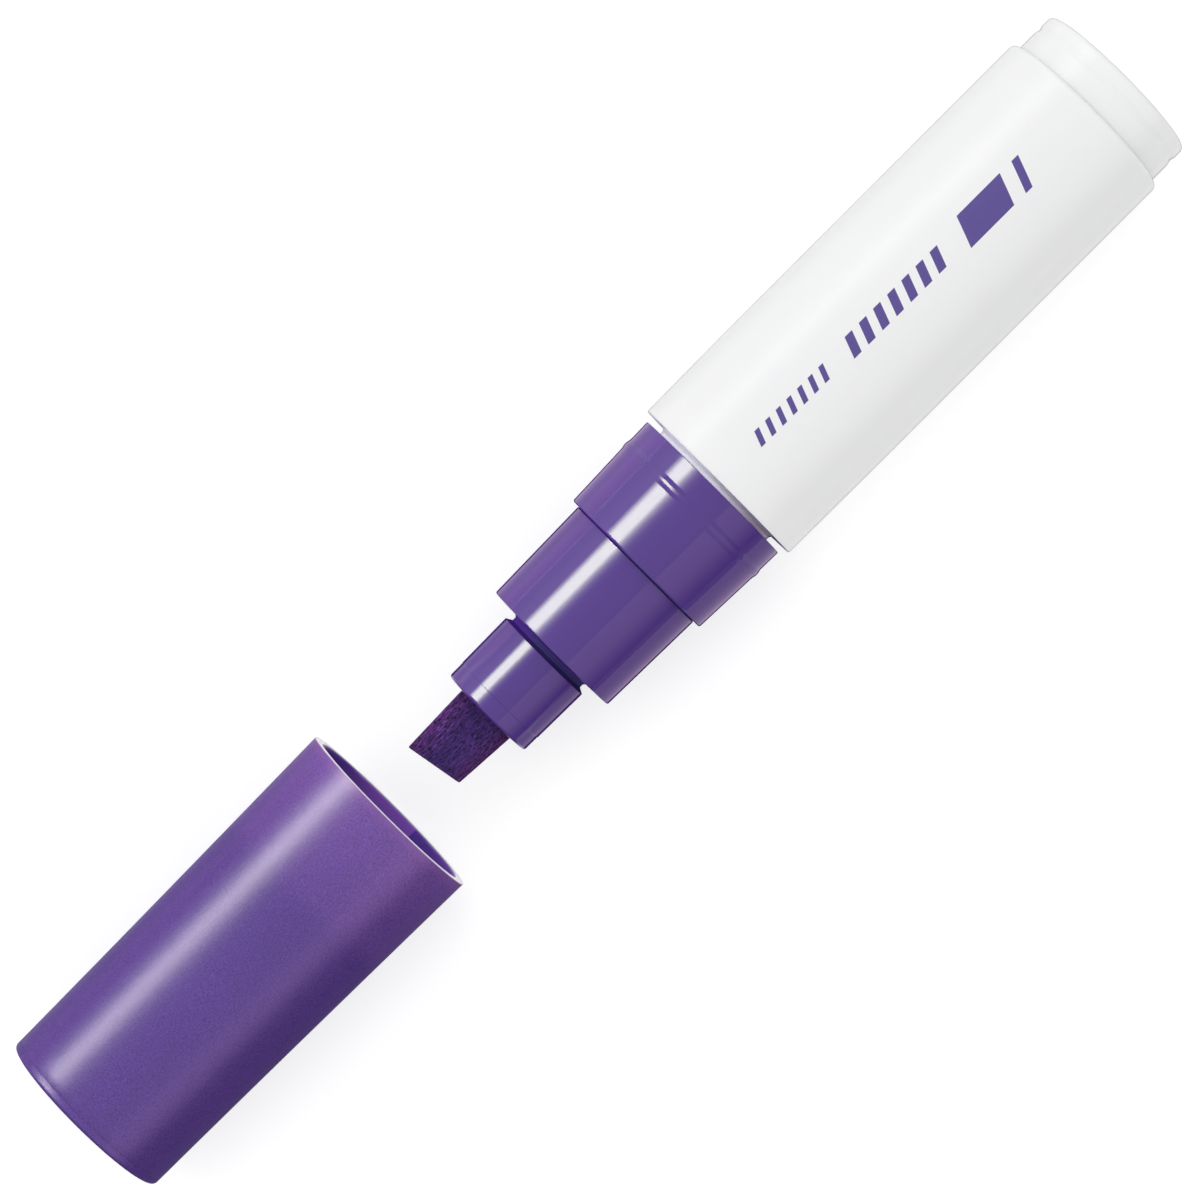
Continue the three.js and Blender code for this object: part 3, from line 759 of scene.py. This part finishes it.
# The marker's pieces, from the tail forwards

print("stage: barrel and tail plug")

barrel = {
    "radius": 13.12, "frontRadius": 13.02, "draft": 17, "length": barrelLength, "wall": 1.62,
    "frontFillet": 0.22, "rearFillet": 0.85, "shoulder": 2.2, "cone": 2.0,
    "neckRadius": 9.75, "neckWall": 1.7, "neckLength": 9.84, "flare": 0.25,
}


def makeBarrel():
    look = barrel
    bore = look["radius"] - look["wall"]
    neckBore = look["neckRadius"] - look["neckWall"]
    outline = [
        (-look["neckLength"], neckBore, 0.15),
        (-look["neckLength"], look["neckRadius"], 0.3),
        (-0.45, look["neckRadius"], 0.4),
        (0, look["neckRadius"] + look["flare"], 0.05),
        (0, look["frontRadius"], look["frontFillet"]),
        (look["draft"], look["radius"], 60),
        (look["length"], look["radius"], look["rearFillet"]),
        (look["length"], bore, 0.15),
        (look["shoulder"] + look["cone"], bore, 0.8),
        (look["shoulder"], neckBore, 0.6),
    ]
    return lathe("barrel_shell", outline, 224)


barrelShell = fit(makeBarrel(), "barrel", printedWhite, "white_plastic", "barrel")
coverFaces(barrelShell, glowingNeckWhite, -barrel["neckLength"], 0.01)

# The screw thread round the neck, hidden under the collar until it is undone
neckThread = {"start": -7.6, "end": -1.6, "height": 0.2, "pitch": 3.0, "foot": 0.9, "crest": 0.35}


def makeThread():
    look = neckThread
    turns = (look["end"] - look["start"]) / look["pitch"]
    steps = round(96 * turns)
    rings = []
    for i in range(steps + 1):
        share = i / steps
        angle = 2 * math.pi * turns * share
        x = look["start"] + (look["end"] - look["start"]) * share
        fade = min(1, 12 * share, 12 * (1 - share))
        ring = []
        for offset, rise in ((-look["foot"] / 2, -0.1), (-look["crest"] / 2, look["height"] * fade),
                             (look["crest"] / 2, look["height"] * fade), (look["foot"] / 2, -0.1)):
            radius = barrel["neckRadius"] + rise - 0.02 * (1 - fade)
            ring.append((x + offset, radius * math.cos(angle), radius * math.sin(angle)))
        rings.append(ring)
    return skin("neck_thread", rings, capEnds=True)


fit(makeThread(), "barrel", white, "white_plastic")

tailPlug = {
    "radius": 12.15, "front": barrelLength + 0.02, "length": 5.98, "fillet": 1.1, "groove": 3.65,
    "grooveLength": 1.5, "grooveDepth": 0.16, "spigot": 6.5, "spigotRadius": 11.3, "spigotWall": 1.9,
    "endWall": 1.8, "dishDepth": 0.35, "dishRadius": 9.6,
}


def makeTailPlug():
    look = tailPlug
    rear = look["front"] + look["length"]
    groove = look["front"] + look["groove"]
    spigotFront = look["front"] - look["spigot"]
    bore = look["spigotRadius"] - look["spigotWall"]
    outline = [
        (rear - look["dishDepth"], 0),
        (rear - look["dishDepth"], look["dishRadius"] - 0.3, 0.3),
        (rear, look["dishRadius"], 0.2),
        (rear, look["radius"], look["fillet"]),
    ]
    for step in range(-8, 9):
        depth = look["grooveDepth"] * (0.5 + 0.5 * math.cos(math.pi * step / 8))
        outline.append((groove - look["grooveLength"] / 2 * step / 8, look["radius"] - depth))
    outline += [
        (look["front"], look["radius"], 0.08),
        (look["front"], look["spigotRadius"], 0.1),
        (spigotFront + 0.6, look["spigotRadius"], 0.3),
        (spigotFront, look["spigotRadius"] - 0.6, 0.2),
        (spigotFront, bore, 0.2),
        (rear - look["endWall"], bore, 0.6),
        (rear - look["endWall"], 0),
    ]
    return lathe("tail_cap", outline, 224)


fit(makeTailPlug(), "barrel", white, "white_plastic", "tail_plug")

print("stage: collar, tip housing and nozzle")

collar = {
    "rear": -0.96, "length": 14.08, "frontRadius": 11.62, "beadBase": 11.95, "rearRadius": 12.01,
    "beadFromRear": 3.97, "beadLength": 1.6, "beadHeight": 0.14, "frontFillet": 0.33,
    "bore": 10.05, "webBore": 9.05, "web": 2.3,
}


def makeCollar():
    look = collar
    front = look["rear"] - look["length"]
    bead = look["rear"] - look["beadFromRear"]
    outline = [
        (front, look["webBore"], 0.15),
        (front, look["frontRadius"], look["frontFillet"]),
        (bead - look["beadLength"] / 2, look["beadBase"], 0.5),
    ]
    for step in range(-5, 6):
        share = step / 6
        lift = look["beadHeight"] * math.cos(share * math.pi / 2) ** 1.2
        outline.append((bead + share * look["beadLength"] / 2, look["beadBase"] + lift))
    outline += [
        (bead + look["beadLength"] / 2, look["beadBase"], 0.5),
        (look["rear"], look["rearRadius"], 0.1),
        (look["rear"], look["bore"] + 0.25, 0.05),
        (look["rear"] - 0.25, look["bore"], 0.05),
        (front + look["web"], look["bore"], 0.3),
        (front + look["web"], look["webBore"], 0.15),
    ]
    return lathe("screw_collar", outline, 224)


screwCollar = fit(makeCollar(), "collar", gloss, "purple_gloss", "front_collar")
collarFront = collar["rear"] - collar["length"]
coverFaces(screwCollar, shadedMattPurple, collarFront - 0.01, collarFront + 0.15)

housing = {
    "front": -30.56, "rear": -15.06, "frontRadius": 10.29, "rearRadius": 10.58, "edge": 0.2,
    "bore": 8.95, "hole": 6.09, "frontWall": 2.0,
}


def makeHousing():
    look = housing
    outline = [
        (look["front"], look["hole"], 0.12),
        (look["front"], look["frontRadius"], look["edge"]),
        (look["rear"], look["rearRadius"], look["edge"]),
        (look["rear"], look["bore"], 0.1),
        (look["front"] + look["frontWall"], look["bore"], 0.3),
        (look["front"] + look["frontWall"], look["hole"], 0.1),
    ]
    return lathe("tip_sleeve", outline, 224)


tipSleeve = fit(makeHousing(), "front_unit", gloss, "purple_gloss", "tip_housing")
coverFaces(tipSleeve, shadedMattPurple, housing["rear"] - 0.12, housing["rear"] + 0.01)

nozzle = {
    "front": -42.48, "rear": -31.99, "tipRadius": 6.843, "radius": 7.013, "tipLength": 2.4, "step": 0.07,
    "chamfer": 0.42, "neckRadius": 6.193, "neckEnd": -30.71, "neckFlare": 0.3, "rearCone": 0.45,
    "spigotRadius": 5.893, "beadFront": -28.41, "beadLength": 0.9, "beadHeight": 0.45,
    "slot": (9.2, 4.6), "slotCorner": 0.5, "slotLeadIn": 0.18,
}


def makeNozzle():
    look = nozzle
    stepAt = look["front"] + look["tipLength"]
    beadRear = look["beadFront"] + look["beadLength"]
    outline = [
        (look["front"], 0),
        (look["front"], look["tipRadius"], look["chamfer"]),
        (stepAt, look["tipRadius"] + 0.02, 0.02),
        (stepAt + 0.05, look["tipRadius"] + look["step"], 0.03),
        (look["rear"], look["radius"], 0.12),
        (look["rear"] + look["rearCone"], look["neckRadius"], 0.15),
        (look["neckEnd"] - look["neckFlare"], look["neckRadius"], 0.15),
        (look["neckEnd"], look["neckRadius"] + look["neckFlare"], 0.05),
        (look["neckEnd"], look["spigotRadius"], 0.05),
        (look["beadFront"], look["spigotRadius"], 0.1),
        (look["beadFront"] + look["beadLength"] / 3, look["spigotRadius"] + look["beadHeight"], 0.1),
        (beadRear, look["spigotRadius"], 0.1),
        (beadRear, 0),
    ]
    body = lathe("nib_holder", outline, 192)
    rings = []
    for x, grow in ((look["front"] - 1, look["slotLeadIn"]), (look["front"], look["slotLeadIn"]),
                    (look["front"] + look["slotLeadIn"], 0), (beadRear + 1, 0)):
        width, height = (size + 2 * grow for size in look["slot"])
        rings.append([(x, y, z) for y, z in roundedRectangle(width, height, look["slotCorner"])])
    return carve(body, [skin("slot_cut", rings, capEnds=True)])


nibHolder = fit(makeNozzle(), "front_unit", gloss, "purple_gloss", "nozzle")
coverFaces(nibHolder, shadedMattPurple, nozzle["rear"] + 0.02, nozzle["neckEnd"] + 0.1)

print("stage: nib")

# tipSides are how far the tip's sides lie from the axis, towards -Y and +Y
nib = {
    "tip": -52.79, "rear": -25.89, "mouth": -42.48, "width": 8.8, "tipSides": (3.87, 4.1), "thickness": 4.2,
    "slant": 10, "rake": 16, "corner": 0.3, "tipEdge": 0.16, "rows": 120, "faceRings": 16,
    "fibreLift": 0.045, "endLift": 0.07,
}


# Fibres lift and sink the surface in streaks along the nib
def fibreHeight(x, y, z):
    streak = noise.noise((x * 0.45, y * 2.6, z * 2.6))
    fine = noise.noise((x * 1.1, y * 6.5, z * 6.5))
    return 0.65 * streak + 0.35 * fine


def makeNib():
    look = nib
    slant = math.tan(math.radians(look["slant"]))
    rake = math.tan(math.radians(look["rake"]))
    shape = roundedRectangle(look["width"], look["thickness"], look["corner"], 72, 34, 4)
    rings = []

    # share runs from the nozzle's mouth to the tip
    def sectionAt(share, inset):
        ring = []
        for y, z in shape:
            tipScale = 1 + (look["tipSides"][y > 0] * 2 / look["width"] - 1) * share
            py = y * tipScale * (1 - 2 * inset / look["width"])
            pz = z * (1 - 2 * inset / look["thickness"])
            tipX = look["tip"] + (look["tipSides"][1] - py) * slant + (look["thickness"] / 2 - pz) * rake
            ring.append((look["mouth"] + (tipX - look["mouth"]) * share, py, pz))
        return ring

    rings.append([(look["rear"], y * 0.93, z * 0.86) for y, z in shape])
    rings.append([(look["rear"] - 0.3, y, z) for y, z in shape])
    rings.append([(look["mouth"] + 1.0, y, z) for y, z in shape])
    for row in range(look["rows"] + 1):
        share = row / look["rows"] * 0.985
        ring = []
        for (x, y, z), (outY, outZ) in zip(sectionAt(share, 0), shape):
            bulge = look["fibreLift"] * fibreHeight(x, y, z) * min(1, share * 12)
            if abs(outY) > look["width"] / 2 - 0.12:
                y += math.copysign(bulge, y)
            if abs(outZ) > look["thickness"] / 2 - 0.12:
                z += math.copysign(bulge, z)
            ring.append((x, y, z))
        rings.append(ring)
    edge = look["tipEdge"]
    for angle in (25, 50, 75):
        a = math.radians(angle)
        tuck = edge * (1 - math.sin(a))
        rings.append([(x + tuck, y, z) for x, y, z in sectionAt(1, edge * (1 - math.cos(a)))])
    for step in range(look["faceRings"]):
        inset = edge + (look["thickness"] / 2 - edge) * (step + 1) / (look["faceRings"] + 1)
        ring = []
        for x, y, z in sectionAt(1, inset):
            coarse, fine = noise.noise((y * 4.2, z * 4.2, 3)), noise.noise((y * 9, z * 9, 8))
            ring.append((x + look["endLift"] * (coarse * 0.6 + fine * 0.4), y, z))
        rings.append(ring)
    return skin("fibre_nib", rings, capEnds=True, sharpAngle=50)


fit(makeNib(), "nib_unit", fibre, "nib_fibre", "nib")

print("stage: valve")

valve = {
    "front": -27.26, "tubeRadius": 8.75, "chamberRadius": 7.25, "flange": (-12.44, -10.94),
    "flangeRadius": 9.75, "skirtRadius": 7.75, "skirtEnd": -2.0, "bore": 6.15, "seat": (-22.14, -19.94),
    "port": 2.2, "lipRadius": 3.3, "lipWidth": 0.7, "lipHeight": 0.4,
}


def makeValveBody():
    look = valve
    seatFront, seatRear = look["seat"]
    flangeFront, flangeRear = look["flange"]
    outline = [
        (look["front"], look["chamberRadius"], 0.2),
        (look["front"], look["tubeRadius"], 0.3),
        (flangeFront, look["tubeRadius"], 0.25),
        (flangeFront, look["flangeRadius"], 0.15),
        (flangeRear, look["flangeRadius"], 0.15),
        (flangeRear, look["skirtRadius"], 0.25),
        (look["skirtEnd"], look["skirtRadius"], 0.25),
        (look["skirtEnd"], look["bore"], 0.2),
        (seatRear, look["bore"], 0.3),
        (seatRear, look["lipRadius"] + look["lipWidth"] / 2, 0.05),
        (seatRear + look["lipHeight"], look["lipRadius"], 0.1),
        (seatRear, look["lipRadius"] - look["lipWidth"] / 2, 0.05),
        (seatRear, look["port"], 0.15),
        (seatFront, look["port"], 0.2),
        (seatFront, look["chamberRadius"], 0.4),
    ]
    return lathe("valve_cup", outline, 128)


fit(makeValveBody(), "front_unit", natural, "natural_plastic", "valve_body")

plunger = {
    "tip": -25.74, "stemRadius": 1.9, "head": (-18.34, -17.14), "headRadius": 4.4, "pinRadius": 1.9,
    "pinLength": 3.6, "flutes": 4, "fluteEnd": -19.54, "fluteWidth": 0.9, "fluteDepth": 0.75,
}


def makePlunger():
    look = plunger
    headFront, headRear = look["head"]
    outline = [
        (look["tip"], 0),
        (look["tip"], look["stemRadius"], 0.15),
        (headFront, look["stemRadius"], 0.1),
        (headFront, look["headRadius"], 0.12),
        (headRear, look["headRadius"], 0.2),
        (headRear, look["pinRadius"], 0.2),
        (headRear + look["pinLength"], look["pinRadius"], 0.3),
        (headRear + look["pinLength"], 0),
    ]
    body = lathe("valve_pin", outline, 96)
    floor = look["stemRadius"] - look["fluteDepth"]
    cutters = []
    for i in range(look["flutes"]):
        turn = 2 * math.pi * (i + 0.5) / look["flutes"]
        cutters.append(slotCutter(f"flute_cut_{i}", look["tip"] - 1, look["fluteEnd"], look["fluteWidth"],
                                  floor, look["stemRadius"] + 1, turn))
    return carve(body, cutters)


fit(makePlunger(), "nib_unit", natural, "natural_plastic", "valve_plunger")


# Seals are plain rings with soft edges: (front, rear, inner radius, outer radius)
seals = {
    "valve_seal": (-19.39, -18.49, 2.1, 4.4, "nib_unit", "valve_washer"),
    "neck_seal": (-10.79, -9.99, 8.05, 9.75, "front_unit", "neck_gasket"),
    "nozzle_seal": (-28.41, -27.41, 6.643, 8.75, "front_unit", "nozzle_gasket"),
}
for sealName, (sealFront, sealRear, sealInner, sealOuter, sealBody, sealNode) in seals.items():
    corners = [(sealFront, sealInner), (sealFront, sealOuter), (sealRear, sealOuter), (sealRear, sealInner)]
    seal = lathe(sealName, [(x, r, 0.2) for x, r in corners], 128)
    fit(seal, sealBody, rubber, "seal_rubber", sealNode)

spring = {
    "front": -16.64, "rear": -6.25, "coilRadius": 3.3, "wire": 0.7, "turns": 6, "stepsPerTurn": 48,
    "press": 2.5,
}


def makeSpring():
    look = spring
    count = look["turns"] * look["stepsPerTurn"]
    path = []
    for i in range(count + 1):
        share = i / count
        angle = 2 * math.pi * look["turns"] * share
        x = look["front"] + (look["rear"] - look["front"]) * share
        path.append(Vector((x, look["coilRadius"] * math.cos(angle), look["coilRadius"] * math.sin(angle))))
    return tube("return_spring", path, look["wire"] / 2)


returnSpring = fit(makeSpring(), "front_unit", springSteel, "spring_steel", "valve_spring")
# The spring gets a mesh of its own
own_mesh(returnSpring)

retainer = {
    "front": -5.75, "radius": 5.95, "wall": 1.1, "flange": (-1.85, -0.85), "flangeRadius": 7.75,
    "floor": 1.2, "bossRadius": 1.9, "bossHeight": 1.5, "windows": 4, "windowWidth": 2.0,
    "windowInner": 4.0,
}


def makeRetainer():
    look = retainer
    front = look["front"]
    flangeFront, flangeRear = look["flange"]
    bore = look["radius"] - look["wall"]
    outline = [
        (front - look["bossHeight"], 0),
        (front - look["bossHeight"], look["bossRadius"], 0.2),
        (front, look["bossRadius"], 0.1),
        (front, look["radius"], 0.25),
        (flangeFront, look["radius"], 0.15),
        (flangeFront, look["flangeRadius"], 0.12),
        (flangeRear, look["flangeRadius"], 0.12),
        (flangeRear, bore, 0.15),
        (front + look["floor"], bore, 0.2),
        (front + look["floor"], 0),
    ]
    body = lathe("spring_cup", outline, 128)
    cutters = []
    for i in range(look["windows"]):
        turn = 2 * math.pi * i / look["windows"]
        cutters.append(slotCutter(f"window_cut_{i}", front - 1, flangeFront - 1.2, look["windowWidth"],
                                  look["windowInner"], look["radius"] + 3, turn))
    return carve(body, cutters)


fit(makeRetainer(), "front_unit", natural, "natural_plastic", "spring_retainer")

print("stage: mixing balls")

balls = {"front": ("front_ball", "mixing_ball_front"), "rear": ("rear_ball", "mixing_ball_rear")}
ballRadius = 4


# A ball round the middle of its CAD node
def makeBall(name, node, sides=48, rows=24):
    low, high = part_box(node)
    middle = ((low + high) / 2 - markerAxis) / mm
    turns = [2 * math.pi * i / sides for i in range(sides)]
    rings = [[middle - Vector((ballRadius, 0, 0))]]
    for row in range(1, rows):
        angle = math.pi * row / rows
        x, radius = -ballRadius * math.cos(angle), ballRadius * math.sin(angle)
        rings.append([middle + Vector((x, radius * math.cos(a), radius * math.sin(a))) for a in turns])
    rings.append([middle + Vector((ballRadius, 0, 0))])
    return skin(name, rings)


for ballName, (ballBody, ballNode) in balls.items():
    fit(makeBall(f"{ballName}_mixing_ball", ballNode), ballBody, ballSteel, "ball_steel", ballNode)

print("stage: cap")

cap = {
    "mouth": -60.36, "length": 56.17, "mouthRadius": 13.54, "endRadius": 12.8, "flare": 1.3,
    "endFillet": 1.3, "endWall": 1.5, "wall": 1.65, "mouthEdge": 0.12, "bore": 12.15,
    "snapDepth": 16.4, "cone": 2.2, "partingAt": 1.25, "partingDepth": 0.03,
}


def makeCap():
    look = cap
    end = look["mouth"] - look["length"]

    def outside(share):
        radius = look["endRadius"] + (look["mouthRadius"] - look["endRadius"]) * share ** look["flare"]
        return end + look["length"] * share, radius

    outline = [(end, 0), (end, look["endRadius"], look["endFillet"])]
    for offset, depth in ((-0.06, 0), (0, look["partingDepth"]), (0.06, 0)):
        x, radius = outside((look["partingAt"] + offset) / look["length"])
        outline.append((x, radius - depth))
    outline += [outside(step / 40) for step in range(2, 40)]
    footX, footRadius = outside(1 - (look["snapDepth"] + look["cone"]) / look["length"])
    outline += [
        (look["mouth"], look["mouthRadius"], look["mouthEdge"]),
        (look["mouth"], look["bore"] + 0.1, 0.15),
        (look["mouth"] - 0.3, look["bore"], 0.1),
        (look["mouth"] - look["snapDepth"], look["bore"], 0.5),
        (footX, footRadius - look["wall"], 0.5),
        (end + look["endWall"], look["endRadius"] - look["wall"], 0.6),
        (end + look["endWall"], 0),
    ]
    return lathe("cap_sleeve", outline, 256)


fit(makeCap(), "cap", satin, "purple_satin", "cap_shell")

liner = {
    "front": -114.88, "base": 1.2, "rim": -93.85, "bore": 7.313, "wall": 1.2, "flange": 10.95, "lip": 0.25,
}


def makeLiner():
    look = liner
    baseRear = look["front"] + look["base"]
    outline = [
        (look["front"], 0),
        (look["front"], look["flange"], 0.15),
        (baseRear, look["flange"], 0.15),
        (baseRear, look["bore"] + look["wall"], 0.4),
        (look["rim"], look["bore"] + look["wall"], 0.2),
        (look["rim"], look["bore"] + look["lip"], 0.05),
        (look["rim"] - look["lip"], look["bore"], 0.1),
        (baseRear, look["bore"], 0.4),
        (baseRear, 0),
    ]
    return lathe("inner_cap", outline, 128)


fit(makeLiner(), "cap", natural, "natural_plastic", "cap_liner")


# Colour management

print("stage: finish")
scene = bpy.context.scene
scene.view_settings.view_transform = "Standard"
